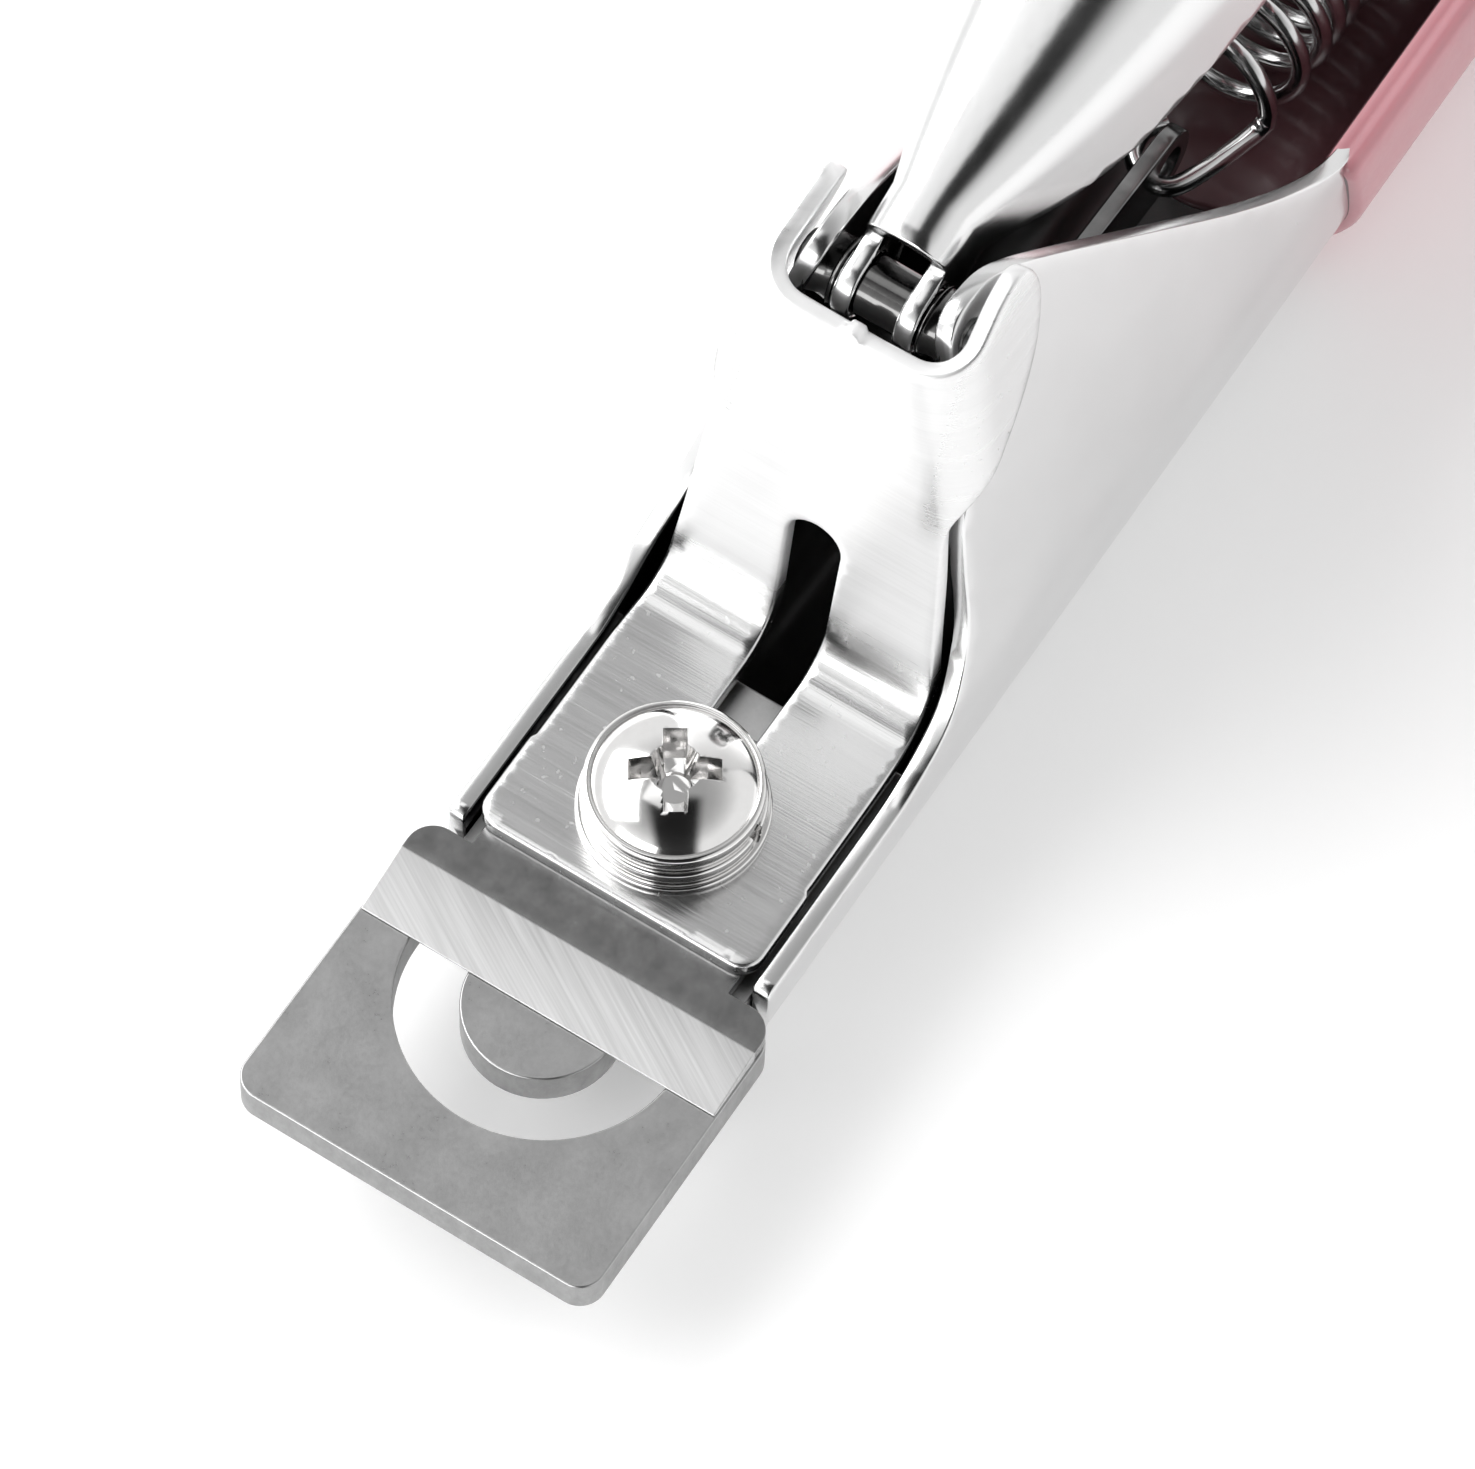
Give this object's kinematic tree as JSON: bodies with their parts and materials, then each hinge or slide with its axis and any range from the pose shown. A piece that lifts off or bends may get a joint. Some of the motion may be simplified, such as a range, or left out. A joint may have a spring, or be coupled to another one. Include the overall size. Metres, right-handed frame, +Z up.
{
  "type": "guillotine nail clipper",
  "caption": "Hand-held lever guillotine nail cutter: flat blade on a sliding carriage over a crescent opening, two channel handles with dipped grips and a return spring.",
  "frame": {"origin": "centre of the overall length and width, on the surface that the lower grip rests on", "axes": "+X out of the cutting head along the lower handle, +Y across, +Z up towards the lever"},
  "size_m": [0.15, 0.0184, 0.0681],
  "materials": {
    "brushed_sheet": "brushed along its length",
    "polished_sheet": "polished",
    "plate_steel": "satin",
    "blade_steel": "ground",
    "bright_hardware": "bright plated",
    "dark_steel": "oiled, dark",
    "spring_wire": "drawn wire",
    "pink_vinyl": "dipped, semi-gloss"
  },
  "bodies": {
    "frame": {"lower_handle": "polished_sheet", "lower_grip": "pink_vinyl", "head_plate": "plate_steel", "head_bed": "dark_steel", "head_rivets": "bright_hardware", "pivot_pin": "dark_steel", "pivot_spacers": "dark_steel", "return_spring": "spring_wire", "spring_anchor": "dark_steel", "anchor_rivet": "bright_hardware"},
    "carriage": {"slide_cover": "brushed_sheet", "blade": "blade_steel", "clamp_screw": "bright_hardware", "lock_washer": "bright_hardware", "flat_washer": "bright_hardware", "nut_washer": "bright_hardware", "slide_nut": "bright_hardware", "drive_lugs": "dark_steel", "drive_pin": "dark_steel", "pull_link": "dark_steel"},
    "lever": {"upper_handle": "polished_sheet", "upper_grip": "pink_vinyl", "lever_sleeve": "bright_hardware"}
  },
  "joints": [
    {"name": "lever_hinge", "type": "hinge", "parent": "frame", "child": "lever", "pos_m": [0.038, 0, 0.0296], "axis": [0, -1, 0], "range_deg": [0, 24], "stiffness_Nm_per_rad": 0.35, "springref_deg": -11.46},
    {"name": "carriage_slide", "type": "slide", "parent": "frame", "child": "carriage", "axis": [1, 0, 0], "range_m": [0, 0.006], "deforming": ["return_spring"]}
  ],
  "couplings": [
    {"joint": "carriage_slide", "follows": "lever_hinge", "m_per_rad": 0.014324}
  ]
}
